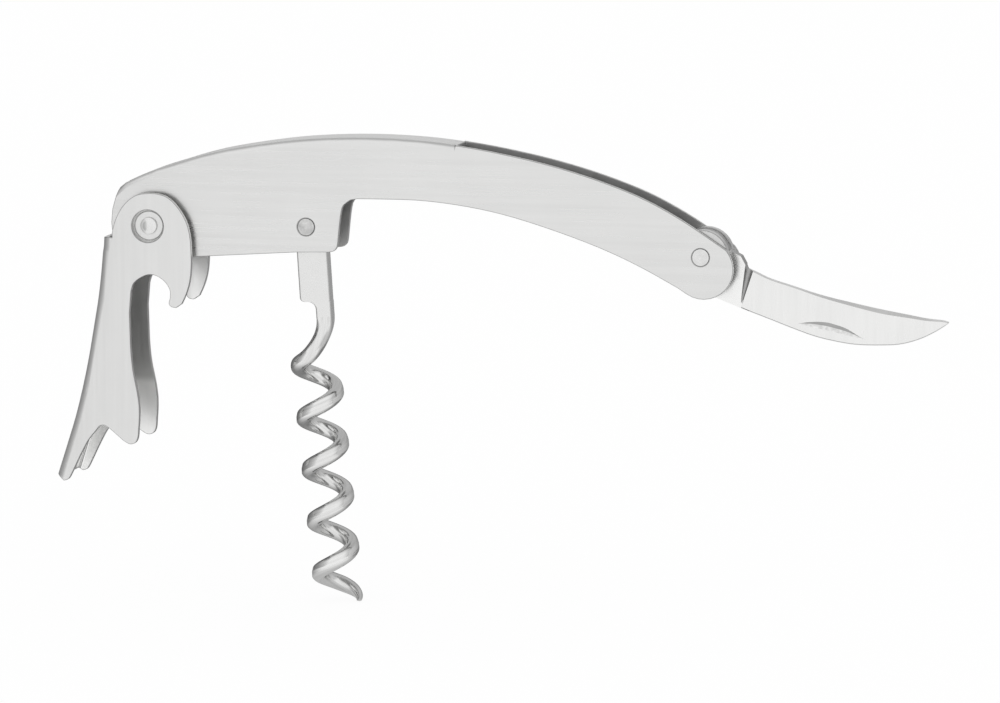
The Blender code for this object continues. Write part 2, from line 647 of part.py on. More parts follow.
def make_knife(parts, cutters, material):
    top = smooth(scaled(BLADE_TOP_SHARES, BLADE_LENGTH, BLADE_LENGTH))
    point = scaled([BLADE_POINT_SHARE], BLADE_LENGTH, BLADE_LENGTH)
    back = smooth(scaled(BLADE_BACK_SHARES, BLADE_LENGTH, BLADE_LENGTH))
    blade = plate("knife_blade", top + point + back + [LEVER_PIVOT], across(BLADE_THICKNESS),
                  parts, material)
    shape = bmesh.new()
    shape.from_mesh(blade.data)
    near = [Vector((x, 0.0, z)) for x, z in top + point]

    def on_edge(vertex):
        flat = Vector((vertex.co.x, 0.0, vertex.co.z))
        return min((flat - place).length for place in near) < WELD_DISTANCE

    face_edges = [edge for edge in shape.edges
                  if all(on_edge(vertex) for vertex in edge.verts)
                  and abs(edge.verts[0].co.y - edge.verts[1].co.y) < WELD_DISTANCE]
    bmesh.ops.bevel(shape, geom=face_edges, offset=EDGE_GRIND, offset_type="OFFSET", segments=1,
                    affect="EDGES", clamp_overlap=False)
    shape.to_mesh(blade.data)
    shape.free()

    tang = cutter(plate("knife_tang", tang_outline(), across(TANG_THICKNESS), cutters))
    combine(blade, tang, "UNION")
    front = -BLADE_THICKNESS / 2
    nick = cutter(plate("nail_nick", smooth(scaled(NICK_SHARES, BLADE_LENGTH, BLADE_LENGTH), 2),
                        (front - OVERRUN, front + NICK_DEPTH), cutters))
    combine(blade, nick, "DIFFERENCE")
    bore = pin_bore("knife_bore", LEVER_PIVOT, TANG_THICKNESS + 2 * OVERRUN,
                    RIVET_RADIUS + BORE_CLEARANCE, cutters)
    combine(blade, bore, "DIFFERENCE")
    for item in (blade, tang, nick, bore):
        item.location = (KNIFE_PIVOT[0], 0.0, KNIFE_PIVOT[1])
    return blade


def make_spring(parts, material):
    """A bowed leaf: its left end bears on the spine, its middle and right end on the tangs."""
    half = SPRING_THICKNESS / 2
    inner_spine = beside(spine_line(), -HANDLE_SHEET - SPRING_SEAT_GAP - half)
    seat = next(point for point in inner_spine if point[0] > NOSE_RADIUS)
    over_heel = (WORM_PIVOT[0], WORM_PIVOT[1] + HEEL_RISE + 2 * SPRING_SEAT_GAP + half)
    bow = ((seat[0] + over_heel[0]) / 2, (seat[1] + over_heel[1]) / 2 + half)
    reach = TANG_RADIUS + SPRING_SEAT_GAP + half
    tang_end = (KNIFE_PIVOT[0] + reach * math.cos(SPRING_TANG_ANGLE),
                KNIFE_PIVOT[1] + reach * math.sin(SPRING_TANG_ANGLE))
    low = beside(underside_line()[::-1], SPRING_THICKNESS + SPRING_SEAT_GAP)
    along = [point for point in low
             if SLOT_START - 2 * NOSE_RADIUS < point[0] < KNIFE_PIVOT[0] - 2 * TANG_RADIUS]
    middle = smooth([seat, bow, over_heel] + along[::2 * CURVE_STEPS] + [tang_end])
    outline = beside(middle, half) + beside(middle, -half)[::-1]
    width = CHANNEL_WIDTH - 2 * SPRING_SIDE_GAP
    return plate("back_spring", outline, across(width), parts, material)


def centre_of(parts):
    """The middle of the box round every part, as evaluated."""
    bpy.context.view_layer.update()
    graph = bpy.context.evaluated_depsgraph_get()
    low = Vector((1e9, 1e9, 1e9))
    high = -low
    for item in parts.objects:
        if item.type != "MESH":
            continue
        shown = item.evaluated_get(graph)
        for vertex in shown.to_mesh().vertices:
            place = shown.matrix_world @ vertex.co
            low = Vector(map(min, low, place))
            high = Vector(map(max, high, place))
        shown.to_mesh_clear()
    print("box: %s mm" % [round(side / MM, 2) for side in high - low])
    return (low + high) / 2


def main():
    remove_everything()
    parts = new_collection("corkscrew")
    cutters = new_collection("cutters")
    brushed = metal("brushed_steel", (0.72, 0.72, 0.71), 0.32)
    pressed = metal("pressed_steel", (0.70, 0.70, 0.69), 0.30)
    polished = metal("polished_steel", (0.75, 0.75, 0.74), 0.12)
    ground = metal("ground_steel", (0.80, 0.80, 0.79), 0.22)
    rivet_steel = metal("rivet_steel", (0.74, 0.74, 0.73), 0.20)
    washer_steel = metal("washer_steel", (0.70, 0.70, 0.69), 0.28)
    spring_steel = metal("spring_steel", (0.45, 0.45, 0.46), 0.35)

    make_handle(parts, cutters, brushed)
    make_spring(parts, spring_steel)
    make_lever(parts, cutters, pressed)
    make_lever_rivet(parts, rivet_steel)
    make_worm(parts, cutters, polished)
    make_flush_rivet("worm_rivet", WORM_PIVOT, parts, rivet_steel)
    make_knife(parts, cutters, ground)
    make_flush_rivet("knife_rivet", KNIFE_PIVOT, parts, rivet_steel)
    for name, side_sign in (("front", -1), ("rear", 1)):
        make_spacer("worm_spacer_" + name, WORM_PIVOT, WORM_SPACER_RADIUS, SHANK_THICKNESS,
                    side_sign, parts, washer_steel)
        make_spacer("knife_spacer_" + name, KNIFE_PIVOT, KNIFE_SPACER_RADIUS, TANG_THICKNESS,
                    side_sign, parts, washer_steel)

    shift = centre_of(parts)
    for collection in (parts, cutters):
        for item in collection.objects:
            item.location -= shift
    for item in parts.objects:
        shade(item)
    for name, place in (("lever", LEVER_PIVOT), ("worm", WORM_PIVOT), ("knife", KNIFE_PIVOT)):
        print("%s pivot: x %.3f z %.3f mm" % (name, (place[0] - shift.x) / MM,
                                              (place[1] - shift.z) / MM))


main()
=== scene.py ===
"""Looks for the folding lever corkscrew: finishes, finer edges, light and camera.

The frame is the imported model, in metres: x runs along the handle from the lever to the knife, the
front cheek faces -y, and z is up. Every piece is drawn where it lies at rest.
"""
import math

import bpy
import bmesh
from mathutils import Matrix, Vector


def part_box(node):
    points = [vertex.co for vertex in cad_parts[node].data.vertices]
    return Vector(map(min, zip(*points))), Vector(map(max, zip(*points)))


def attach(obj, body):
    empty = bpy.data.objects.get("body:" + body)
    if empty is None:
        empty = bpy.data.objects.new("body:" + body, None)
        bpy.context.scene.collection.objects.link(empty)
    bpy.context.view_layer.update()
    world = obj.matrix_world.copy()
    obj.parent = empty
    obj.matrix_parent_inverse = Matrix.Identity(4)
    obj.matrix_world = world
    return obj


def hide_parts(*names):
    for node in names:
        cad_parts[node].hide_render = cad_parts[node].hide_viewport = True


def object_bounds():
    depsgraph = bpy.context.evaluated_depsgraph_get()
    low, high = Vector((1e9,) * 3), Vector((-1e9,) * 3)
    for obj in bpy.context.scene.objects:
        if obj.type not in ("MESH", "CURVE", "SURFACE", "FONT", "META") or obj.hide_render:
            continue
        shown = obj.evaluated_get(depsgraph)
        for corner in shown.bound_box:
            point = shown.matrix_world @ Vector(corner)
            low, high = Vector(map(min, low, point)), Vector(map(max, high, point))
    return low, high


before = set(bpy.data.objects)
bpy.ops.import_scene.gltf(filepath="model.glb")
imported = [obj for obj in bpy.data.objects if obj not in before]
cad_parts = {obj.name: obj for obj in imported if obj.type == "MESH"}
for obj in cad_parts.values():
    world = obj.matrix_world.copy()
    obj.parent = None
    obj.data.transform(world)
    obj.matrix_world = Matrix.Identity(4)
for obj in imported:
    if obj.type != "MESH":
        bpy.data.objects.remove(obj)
cad_low, cad_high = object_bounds()

MM = 0.001
DEGREE = math.pi / 180
TURN = 2 * math.pi
WHITE = (1.0, 1.0, 1.0, 1.0)

# Camera, worked out from the photograph
CAMERA_AZIMUTH = 12.0 * DEGREE
CAMERA_ELEVATION = 7.7 * DEGREE
CAMERA_DISTANCE = 1200 * MM
CAMERA_LENS = 230.3
CAMERA_SENSOR = 36.0
CAMERA_NEAR = 10 * MM
CAMERA_FAR = 50.0
CAMERA_TARGET = Vector((0.0, -0.4, 4.3)) * MM

# Marks of steel
NOISE_LOW = 0.25             # noise seldom leaves the range from here
NOISE_HIGH = 0.75            # to here
MARK_DETAIL = 3.0
FINE_SHARE = 3.1             # fine marks to each coarse one
BLUE_SHARE = 0.992           # steel is a little warmer than grey
RING_GRAIN = (9000, 2500, 0)     # turning rings a metre, outward and along the axis

# Painted shade in the insides: how bright they are painted deep down, as a share, and where the
# painted shade gives way to painted light
LEVER_SHADE_SHARE = 0.66
HOOK_START = 2 * MM          # to the right of the lever's axis
HOOK_END = 6 * MM
PRONG_START = 30 * MM        # below the lever's axis
PRONG_END = 32 * MM
HANDLE_SHADE_SHARE = 0.48
KNIFE_END = 2 * MM           # to the left of the knife's axis

# Sheet parts
EDGE_BREAK = 0.13 * MM
SHARP_ANGLE = 32 * DEGREE
WELD_DISTANCE = 0.01 * MM
FLAT_ANGLE = 0.6 * DEGREE
CHANNEL_HALF = 3.8 * MM
LEVER_INSIDE_HALF = 6.1 * MM
OUTWARD_SLOPE = 0.4          # a face in the hollow that turns outward by less is inside

# Rivets
RIVET_RADIUS = 1.3 * MM
BORE_RADIUS = 1.4 * MM
HEAD_RADIUS = 1.6 * MM
HEAD_EDGE = 0.3 * MM
COUNTERSINK_DEPTH = 0.35 * MM
DOME_RISE = 0.5 * MM
DOME_LIP = 0.5 * MM
FLUSH_DOME_RISE = 0.3 * MM
FLUSH_LIP = 0.35 * MM
DOME_STEPS = 10
RIM_SHARE = 0.45             # of a dome's rise is left at its rim
RIM_ANGLES = [a * DEGREE for a in (20, 40, 60, 75, 90)]
RIVET_SHARP_ANGLE = 50 * DEGREE
RIVET_ROUGHNESS = 0.2
RIVET_PATCHES = 700          # a metre
LATHE_SIDES = 72
LATHE_ANGLES = [TURN * step / LATHE_SIDES for step in range(LATHE_SIDES)]

# Worm: shank, neck and coil
WORM_TILT = 3.65 * DEGREE
WORM_SHARP_ANGLE = 40 * DEGREE
SHANK_HALF = 2.9 * MM
SHANK_HALF_THICKNESS = 1.7 * MM
SHANK_EDGE = 0.4 * MM
HEEL_RISE = 3.9 * MM
HEEL_RADIUS = 1.45 * MM
SHOULDER_DROP = 14.5 * MM
NECK_LEFT = 0.05 * MM
NECK_RIGHT = 2.95 * MM
CORNER_RADIUS = 0.85 * MM
FILLET_RADIUS = 1.5 * MM
ROUNDING_ANGLES = [a * DEGREE for a in (90, 75, 60, 45, 30, 15, 0)]
RING_GAP = 0.02 * MM         # between the shoulder's last ring and the fillet's first
NECK_DROP = 17.5 * MM
NECK_LENGTH = 4.5 * MM       # over which the flat shank turns into round wire
WIRE_RADIUS = 1.5 * MM
ROUND_SHARE = 0.985          # of its half size is the corner radius of round wire
COIL_RADIUS = 4.88 * MM
COIL_OFFSET = -0.93 * MM
COIL_LEAN = 1.95 * DEGREE
COIL_PITCH = 9.91 * MM
FIRST_LEFT_DROP = 27.07 * MM
TURNS_BELOW_FIRST_LEFT = 4.52
LEAD_TURNS = 0.16
LEAD_PULL = 10.5 * MM
LOOK_AHEAD = 0.01            # turns, to tell which way the coil starts
TIP_TURNS = 0.3
TIP_SHARE = 0.28
TIP_SLANT = 1.1
STEPS_PER_TURN = 44
NECK_STEPS = 26
CORNER_STEPS = 11            # sides in each quarter of the wire
FLUTE_DEPTH = 0.16 * MM
FLUTE_SPREAD = 30 * DEGREE
FLUTE_ANGLE = 170 * DEGREE   # on the outside of the coil, a little above its middle
FLUTE_SQUARENESS = 4         # a higher power gives a flatter floor and steeper sides
FLUTE_IN_STEPS = 12          # over which it deepens at the top
FLUTE_OUT_STEPS = 14         # and runs out before the tip

# Blade; a share is of the blade's length, as x and z from the knife's rivet
BLADE_LENGTH = 45.8 * MM
BLADE_HALF = 1.0 * MM
TANG_HALF = 1.3 * MM
TANG_RADIUS = 4.8 * MM
HEEL_START = 234 * DEGREE
HEEL_TURN = 189 * DEGREE
HEEL_STEPS = 36
EDGE_HALF = 0.12 * MM
BACK_ROUND = 0.2 * MM
BACK_ROUND_MOST = 0.2        # of the blade's width
BLADE_STATIONS = 90
CURVE_STEPS = 6              # between two points of an outline
GRIND_NARROW = 0.18 * MM
GRIND_WIDE = 0.66 * MM
GRIND_MOST = 0.45            # of the blade's width
GRIND_START_SHARE = 0.22     # of the way from the tang to the point
GRIND_WIDEST_SHARE = 0.70
GRIND_FALL = 0.75            # of its width is gone again at the point
NICK_DEPTH = 0.32 * MM
NICK_WALL = 0.75 * MM
NICK_SKIN = 0.001 * MM       # that the cutter stays out of the blade's side along its chord
PLUNGE_RADIUS = 0.9 * MM
PLUNGE_FOOT_RADIUS = 0.02 * MM
PLUNGE_LIFT = 0.1 * MM       # of the grinding wheel's axis off the blade's side
PLUNGE_SIDES = 48
OVERRUN = 1.0 * MM           # of a cutter past what it cuts
SOFT_EDGE = 0.07 * MM
SOFT_ANGLE = 25 * DEGREE
CARVED_WELD = 0.004 * MM
CARVED_FLAT_ANGLE = 0.1 * DEGREE
SIDE_SLOPE = 0.93            # a face turned sideways by more is the blade's flat side
LEVEL_SLOPE = 0.999          # and by more than this it wasn't touched by the wheel
BLADE_TOP_SHARES = [(0.180, -0.050), (0.212, -0.063), (0.271, -0.0895), (0.365, -0.118),
                    (0.483, -0.153), (0.600, -0.179), (0.718, -0.203), (0.834, -0.223),
                    (0.910, -0.236), (0.980, -0.2425), (0.997, -0.2485)]
BLADE_BACK_SHARES = [(0.150, -0.2105), (0.188, -0.225), (0.266, -0.253), (0.367, -0.290),
                     (0.461, -0.321), (0.555, -0.3405), (0.631, -0.3495), (0.718, -0.3495),
                     (0.806, -0.343), (0.882, -0.321), (0.941, -0.2925), (0.980, -0.2685),
                     (0.999, -0.2545)]
TANG_SHOULDER_SHARES = [(0.107, 0.024), (0.153, 0.0), (0.188, -0.063)]
TANG_FOOT_SHARES = [(0.155, -0.2115), (0.129, -0.201), (0.048, -0.170)]
NICK_SHARES = [(0.386, -0.2685), (0.421, -0.260), (0.461, -0.2575), (0.500, -0.260),
               (0.531, -0.266), (0.596, -0.286), (0.666, -0.3275)]
PLUNGE_TOP_SHARE = (0.186, -0.055)
PLUNGE_FOOT_SHARE = (0.147, -0.229)

# Places of a piece's materials in its list
FACE, EDGE, INSIDE = range(3)
WIRE, SHANK = range(2)
BLADE, GRIND, TANG, PLUNGE_AND_SHADE, NICK = range(5)

# Studio
FLOOR_LEVEL = cad_low.z
FLOOR_SIZE = 8.0
FLOOR_COLOUR = (0.95, 0.95, 0.95, 1.0)
FLOOR_ROUGHNESS = 0.9
FLOOR_GLOW = 0.93
FLOOR_DIM = 0.8              # how much darker the metal sees the floor behind the tool
FLOOR_FADE = 40 * MM         # from this far in front of the tool to as far behind it
CARD_TOP = 76 * MM
LOW_CARD_TOP = 44 * MM       # below the way that the spine's reflections take
FRONT_WAY = (-0.1, -1.0, 0.25)
BACK_WAY = (-0.2, 1.0, 0.15)

# Cards: name, start and end on the floor in mm, top, and levels at start and end
CARDS = [("left_card", (-125, -150), (-125, 0), CARD_TOP, (1.0, 0.32)),
         ("left_back_card", (-125, 0), (-125, 125), CARD_TOP, (0.32, 0.06)),
         ("back_left_card", (-125, 125), (-40, 125), LOW_CARD_TOP, (0.08, 0.2)),
         ("back_right_card", (-40, 125), (100, 125), LOW_CARD_TOP, (0.3, 0.5)),
         ("right_card", (100, 125), (100, -40), LOW_CARD_TOP, (0.5, 0.72))]


def axis_of(node):
    """The x and z of a turned node's axis."""
    low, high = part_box(node)
    return ((low.x + high.x) / 2, (low.z + high.z) / 2)


# Materials

class Shader:
    """A material's node tree, built a node at a time."""

    def __init__(self, name):
        self.material = bpy.data.materials.new(name)
        self.material.use_nodes = True
        self.tree = self.material.node_tree
        self.surface = self.tree.nodes["Principled BSDF"]

    def node(self, kind, inputs=None, **settings):
        node = self.tree.nodes.new(kind)
        for key, value in settings.items():
            setattr(node, key, value)
        for key, value in (inputs or {}).items():
            self.feed(node.inputs[key], value)
        return node

    def feed(self, socket, value):
        if isinstance(value, bpy.types.NodeSocket):
            self.tree.links.new(value, socket)
        else:
            socket.default_value = value

    def show(self, surface):
        """Let the material show this surface in place of its own."""
        self.feed(self.tree.nodes["Material Output"].inputs["Surface"], surface)

    def math(self, operation, first, second):
        return self.node("ShaderNodeMath", {0: first, 1: second}, operation=operation).outputs[0]

    def place(self):
        return self.node("ShaderNodeTexCoord").outputs["Object"]

    def along(self, axis):
        return self.node("ShaderNodeSeparateXYZ", {0: self.place()}).outputs[axis]

    def along_wire(self):
        """The place on the worm as if its wire were straight: x along it, y and z across."""
        return self.node("ShaderNodeAttribute", attribute_name="straight").outputs["Vector"]

    def round(self, centre):
        """Distance from an axis along y, and the place along it."""
        moved = self.node("ShaderNodeVectorMath", {0: self.place(), 1: centre},
                          operation="SUBTRACT").outputs[0]
        flat = self.node("ShaderNodeVectorMath", {0: moved, 1: (1.0, 0.0, 1.0)},
                         operation="MULTIPLY").outputs[0]
        radius = self.node("ShaderNodeVectorMath", {0: flat}, operation="LENGTH").outputs["Value"]
        return self.node("ShaderNodeCombineXYZ", {"X": radius, "Y": self.along("Y")}).outputs[0]

    def noise(self, where, scale, detail=2.0):
        """Noise with its own scale along each axis, in marks a metre."""
        mapping = self.node("ShaderNodeMapping", {"Vector": where, "Scale": scale}).outputs[0]
        return self.node("ShaderNodeTexNoise", {"Vector": mapping, "Scale": 1.0,
                                                "Detail": detail}).outputs["Fac"]

    def ramp(self, value, low, high, start=0.0, end=1.0, smooth=False):
        """The value from low to high, carried over to start to end."""
        kind = "SMOOTHSTEP" if smooth else "LINEAR"
        return self.node("ShaderNodeMapRange", {"Value": value, "From Min": low, "From Max": high,
                                                "To Min": start, "To Max": end},
                         interpolation_type=kind).outputs[0]

    def spread(self, noise, middle, reach):
        """The noise, carried over to values that stray from the middle by the reach."""
        return self.ramp(noise, NOISE_LOW, NOISE_HIGH, middle - reach, middle + reach)


def steel(name, level, roughness, grain, where=Shader.place, tone=0.03, rough=0.05,
          depth=0.003 * MM, blotch=0.012, patches=90, shade=None):
    """Brushed, ground or drawn steel.

    The grain is how many marks a metre there are along x, y and z of the place that where gives,
    and patches is how many larger, softer ones. The level strays by tone with the marks and by
    blotch with the patches, and the roughness by rough; depth is how deep the marks are. shade
    gives a share of the level that changes from place to place, as painted light and shade.
    """
    shader = Shader(name)
    place = where(shader)
    marks = shader.noise(place, grain, MARK_DETAIL)
    fine = shader.noise(place, tuple(FINE_SHARE * size for size in grain))
    cloud = shader.noise(shader.place(), (patches, patches, patches))
    value = shader.math("ADD", shader.spread(marks, level, tone), shader.spread(cloud, 0.0, blotch))
    if shade:
        value = shader.math("MULTIPLY", value, shade(shader))
    blue = shader.math("MULTIPLY", value, BLUE_SHARE)
    colour = shader.node("ShaderNodeCombineColor", {"Red": value, "Green": value, "Blue": blue})
    shader.feed(shader.surface.inputs["Base Color"], colour.outputs[0])
    shader.surface.inputs["Metallic"].default_value = 1.0
    shader.feed(shader.surface.inputs["Roughness"], shader.spread(fine, roughness, rough))
    bump = shader.node("ShaderNodeBump", {"Height": shader.math("ADD", marks, fine),
                                          "Distance": depth})
    shader.feed(shader.surface.inputs["Normal"], bump.outputs[0])
    return shader.material


def turned_steel(name, level, centre, blotch):
    """Steel with the fine rings that turning leaves round its axis."""
    return steel(name, level, RIVET_ROUGHNESS, RING_GRAIN, lambda shader: shader.round(centre),
                 tone=0.05, rough=0.04, depth=0.004 * MM, blotch=blotch, patches=RIVET_PATCHES)


def lever_inside_painted_shade(shader):
    """Painted shade: the lever's inside is painted darker deep in the channel and painted brighter
    towards hook and prongs.
    """
    x, z = axis_of("lever_rivet")
    hook = shader.ramp(shader.along("X"), x + HOOK_START, x + HOOK_END, 0.0, 1 - LEVER_SHADE_SHARE,
                       smooth=True)
    prong = shader.ramp(shader.along("Z"), z - PRONG_START, z - PRONG_END, 0.0, 1 - LEVER_SHADE_SHARE,
                        smooth=True)
    return shader.math("ADD", shader.math("MAXIMUM", hook, prong), LEVER_SHADE_SHARE)


def channel_painted_shade(shader):
    """Painted shade: the handle's inside is painted darker, but painted bright round the knife's
    end of its rear cheek.
    """
    x = axis_of("knife_rivet")[0]
    knife_end = shader.ramp(shader.along("X"), x - KNIFE_END, x, 0.0, 1 - HANDLE_SHADE_SHARE, smooth=True)
    rear = shader.ramp(shader.along("Y"), -CHANNEL_HALF / 2, CHANNEL_HALF / 2, smooth=True)
    return shader.math("ADD", shader.math("MULTIPLY", knife_end, rear), HANDLE_SHADE_SHARE)


handle_steel = steel("handle_brushed", level=0.74, roughness=0.30, grain=(25, 300, 900), tone=0.02)
# The handle's inside: a rougher steel with painted shade, darker deep in the channel and brighter
# at the knife's end
channel_steel = steel("channel_dull_painted_shade", level=0.95, roughness=0.45, grain=(200, 300, 200),
                      shade=channel_painted_shade)
lever_steel = steel("lever_brushed", level=0.76, roughness=0.32, grain=(900, 300, 25), tone=0.02)
# The lever's inside: painted shade deep in the channel and painted light towards hook and prongs,
# on a level above the outside's
lever_inside = steel("lever_inside", level=0.96, roughness=0.34, grain=(300, 300, 60), tone=0.02,
                     shade=lever_inside_painted_shade)
# Broken edges: a rougher cut steel, painted darker still as painted shade along the outlines
edge_steel = steel("broken_edge_painted_shade", level=0.42, roughness=0.36, grain=(500, 500, 500))
washer_steel = steel("washer_turned", level=0.66, roughness=0.30, grain=(900, 900, 900))
leaf_steel = steel("leaf_dark", level=0.28, roughness=0.40, grain=(60, 300, 300))
wire_steel = steel("worm_polished", level=0.76, roughness=0.13, grain=(60, 2200, 2200),
                   where=Shader.along_wire, tone=0.1, rough=0.04, depth=0.01 * MM)
shank_steel = steel("shank_ground", level=0.78, roughness=0.26, grain=(200, 300, 300), tone=0.01,
                    depth=0.001 * MM)
blade_steel = steel("blade_ground", level=0.84, roughness=0.24, grain=(900, 300, 60), tone=0.02)
grind_steel = steel("edge_ground", level=0.86, roughness=0.30, grain=(900, 300, 300))
tang_steel = steel("tang_smooth", level=0.9, roughness=0.26, grain=(300, 300, 300), tone=0.01)
# Ground steel for the wheel's mark, painted darker as shade; it also paints shade on the nick's
# wall
plunge_shade_steel = steel("plunge_ground_painted_shade", level=0.40, roughness=0.35, grain=(300, 300, 900))
nick_steel = steel("nick_pressed", level=0.76, roughness=0.35, grain=(1500, 300, 1500), tone=0.16,
                   depth=0.006 * MM)


# Meshes

def mesh_of(name, shape):
    """The shape as a mesh; the shape itself is freed."""
    mesh = bpy.data.meshes.new(name)
    shape.to_mesh(mesh)
    shape.free()
    return mesh


def new_object(name, data):
    item = bpy.data.objects.new(name, data)
    bpy.context.scene.collection.objects.link(item)
    return item


def new_piece(node, shape, materials, body, sharp_angle=SHARP_ANGLE):
    """A finished piece that stands for a CAD node and rides on its body."""
    mesh = mesh_of(node + "_fine", shape)
    for material in materials:
        mesh.materials.append(material)
    mesh.shade_smooth()
    mesh.set_sharp_from_angle(angle=sharp_angle)
    piece = new_object(node + "_fine", mesh)
    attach(piece, body)
    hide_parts(node)
    return piece


def even_normals(piece):
    """Keep flat faces flat beside their narrow broken edges."""
    weighted = piece.modifiers.new("Even normals", "WEIGHTED_NORMAL")
    weighted.keep_sharp = True


def circle(centre, radius, angles):
    """Points round a centre, as x and z."""
    return [(centre[0] + radius * math.cos(a), centre[1] + radius * math.sin(a)) for a in angles]


def skin(shape, rings):
    """Join each ring of points to the next; where one is a single point, it becomes a fan."""
    for first, second in zip(rings, rings[1:]):
        sides = max(len(first), len(second))
        for step in range(sides):
            after = (step + 1) % sides
            corners = [first[step % len(first)], first[after % len(first)],
                       second[after % len(second)], second[step % len(second)]]
            shape.faces.new(list(dict.fromkeys(corners)))


def revolve(profile, centre):
    """Turn a profile of radius and depth points round an axis along y."""
    shape = bmesh.new()
    rings = []
    for radius, depth in profile:
        angles = LATHE_ANGLES if radius else [0.0]
        rings.append([shape.verts.new((x, depth, z)) for x, z in circle(centre, radius, angles)])
    skin(shape, rings)
    bmesh.ops.recalc_face_normals(shape, faces=shape.faces)
    return shape


def prism(outline, front, rear):
    """A closed plate with this outline of x and z between two depths."""
    shape = bmesh.new()
    near = [shape.verts.new((x, front, z)) for x, z in outline]
    far = [shape.verts.new((x, rear, z)) for x, z in outline]
    shape.faces.new(near)
    shape.faces.new(far[::-1])
    count = len(outline)
    for step in range(count):
        after = (step + 1) % count
        shape.faces.new((near[after], near[step], far[step], far[after]))
    bmesh.ops.recalc_face_normals(shape, faces=shape.faces)
    return shape


def bore_pin(pivot, reach):
    """The cutter of a rivet's bore, as far forward as back."""
    return prism(circle(pivot, BORE_RADIUS, LATHE_ANGLES), -reach, reach)


def carve(base, steps):
    """The base joined with or cut by each shape in turn."""
    item = new_object("carved", mesh_of("carved", base))
    tools = []
    for number, (operation, shape) in enumerate(steps):
        name = "tool_%d" % number
        tool = new_object(name, mesh_of(name, shape))
        tools.append(tool)
        boolean = item.modifiers.new(name, "BOOLEAN")
        boolean.operation = operation
        boolean.object = tool
        boolean.solver = "EXACT"
    graph = bpy.context.evaluated_depsgraph_get()
    mesh = bpy.data.meshes.new_from_object(item.evaluated_get(graph))
    result = bmesh.new()
    result.from_mesh(mesh)
    for extra in [item] + tools:
        bpy.data.objects.remove(extra)
    return result


# Sheet parts and washers

def lies_inside(face, inside_half, outward):
    """Whether a face is in a folded sheet's hollow and turned away from its outside."""
    if max(abs(vertex.co.y) for vertex in face.verts) >= inside_half + WELD_DISTANCE:
        return False
    sideways = face.normal.y * face.verts[0].co.y / inside_half
    return max(face.normal.dot(outward), sideways) < OUTWARD_SLOPE


def break_edges(shape):
    """Round the sharp edges a little; the rounds take the edge steel with its painted shade."""
    sharp = [edge for edge in shape.edges
             if len(edge.link_faces) == 2 and edge.calc_face_angle(0) > SHARP_ANGLE]
    bevel = bmesh.ops.bevel(shape, geom=sharp, offset=EDGE_BREAK, offset_type="OFFSET",
                            segments=2, profile=0.5, affect="EDGES", clamp_overlap=False)
    for face in bevel["faces"]:
        face.material_index = EDGE


def finer(node, body, materials, inside_half=0.0, outward=None):
    """A copy of a CAD node with broken edges; outward is the way that its spine faces."""
    shape = bmesh.new()
    shape.from_mesh(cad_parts[node].data)
    bmesh.ops.remove_doubles(shape, verts=shape.verts, dist=WELD_DISTANCE)
    bmesh.ops.dissolve_limit(shape, angle_limit=FLAT_ANGLE, verts=shape.verts, edges=shape.edges)
    shape.normal_update()
    for face in shape.faces:
        # Faces in a sheet's hollow take its inside steel, which carries painted shade and light
        inside = inside_half and lies_inside(face, inside_half, outward)
        face.material_index = INSIDE if inside else FACE
    break_edges(shape)
    even_normals(new_piece(node, shape, materials, body))


# Rivets

def rivet_end(face, rise, lip):
    """One end of a rivet, from its middle out: a low dome with a rounded rim."""
    flat = HEAD_RADIUS - lip
    fall = 1 - RIM_SHARE
    dome = [(flat * step / DOME_STEPS, face + rise * (1 - fall * (step / DOME_STEPS) ** 2))
            for step in range(DOME_STEPS + 1)]
    rim = [(flat + lip * math.sin(a), face + RIM_SHARE * rise * math.cos(a)) for a in RIM_ANGLES]
    return dome + rim


def make_rivet(node, rise, lip, under, level, blotch):
    """The points of its underside follow those of its end, as radius and drop from the face."""
    centre = axis_of(node)
    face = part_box(node)[1].y - rise
    half = rivet_end(face, rise, lip) + [(radius, face - drop) for radius, drop in under]
    profile = half + [(radius, -depth) for radius, depth in half[::-1]]
    material = turned_steel(node + "_steel", level, (centre[0], 0.0, centre[1]), blotch)
    new_piece(node, revolve(profile, centre), [material], "handle", RIVET_SHARP_ANGLE)


# Worm, drawn hanging straight down from its rivet and then tilted

def coil_outward(turns_down):
    """The way out from the coil's axis, so many turns below its first leftmost place."""
    angle = TURN / 2 - turns_down * TURN
    return Vector((math.cos(angle), math.sin(angle), 0.0))


def coil_point(turns_down):
    """A place on the coil's middle line, and the wire's radius there."""
    left = max(0.0, TURNS_BELOW_FIRST_LEFT - turns_down)
    share = min(1.0, left / TIP_TURNS)
    wire = WIRE_RADIUS * (TIP_SHARE + (1 - TIP_SHARE) * math.sin(share * TURN / 4))
    swing = COIL_RADIUS - WIRE_RADIUS - (wire - WIRE_RADIUS) / 2
    down = turns_down * COIL_PITCH
    middle = Vector((COIL_OFFSET + down * math.tan(COIL_LEAN), 0.0, -FIRST_LEFT_DROP - down))
    return middle + swing * coil_outward(turns_down), wire


def shank_rings():
    """Level rings from the heel down to the neck: middle and half width."""
    rings = []
    for a in ROUNDING_ANGLES:
        inset = HEEL_RADIUS * (1 - math.cos(a))
        rings.append((HEEL_RISE - HEEL_RADIUS * (1 - math.sin(a)), -SHANK_HALF + inset,
                      SHANK_HALF - inset))
    rings.append((0.0, -SHANK_HALF, SHANK_HALF))
    for a in ROUNDING_ANGLES[::-1]:
        rings.append((-SHOULDER_DROP + CORNER_RADIUS * (1 - math.sin(a)),
                      -SHANK_HALF + CORNER_RADIUS * (1 - math.cos(a)), SHANK_HALF))
    for a in ROUNDING_ANGLES:
        rings.append((-SHOULDER_DROP - FILLET_RADIUS * (1 - math.sin(a)) - RING_GAP,
                      NECK_LEFT - FILLET_RADIUS * (1 - math.cos(a)), NECK_RIGHT))
    return [(Vector(((left + right) / 2, 0.0, level)), (right - left) / 2)
            for level, left, right in rings]


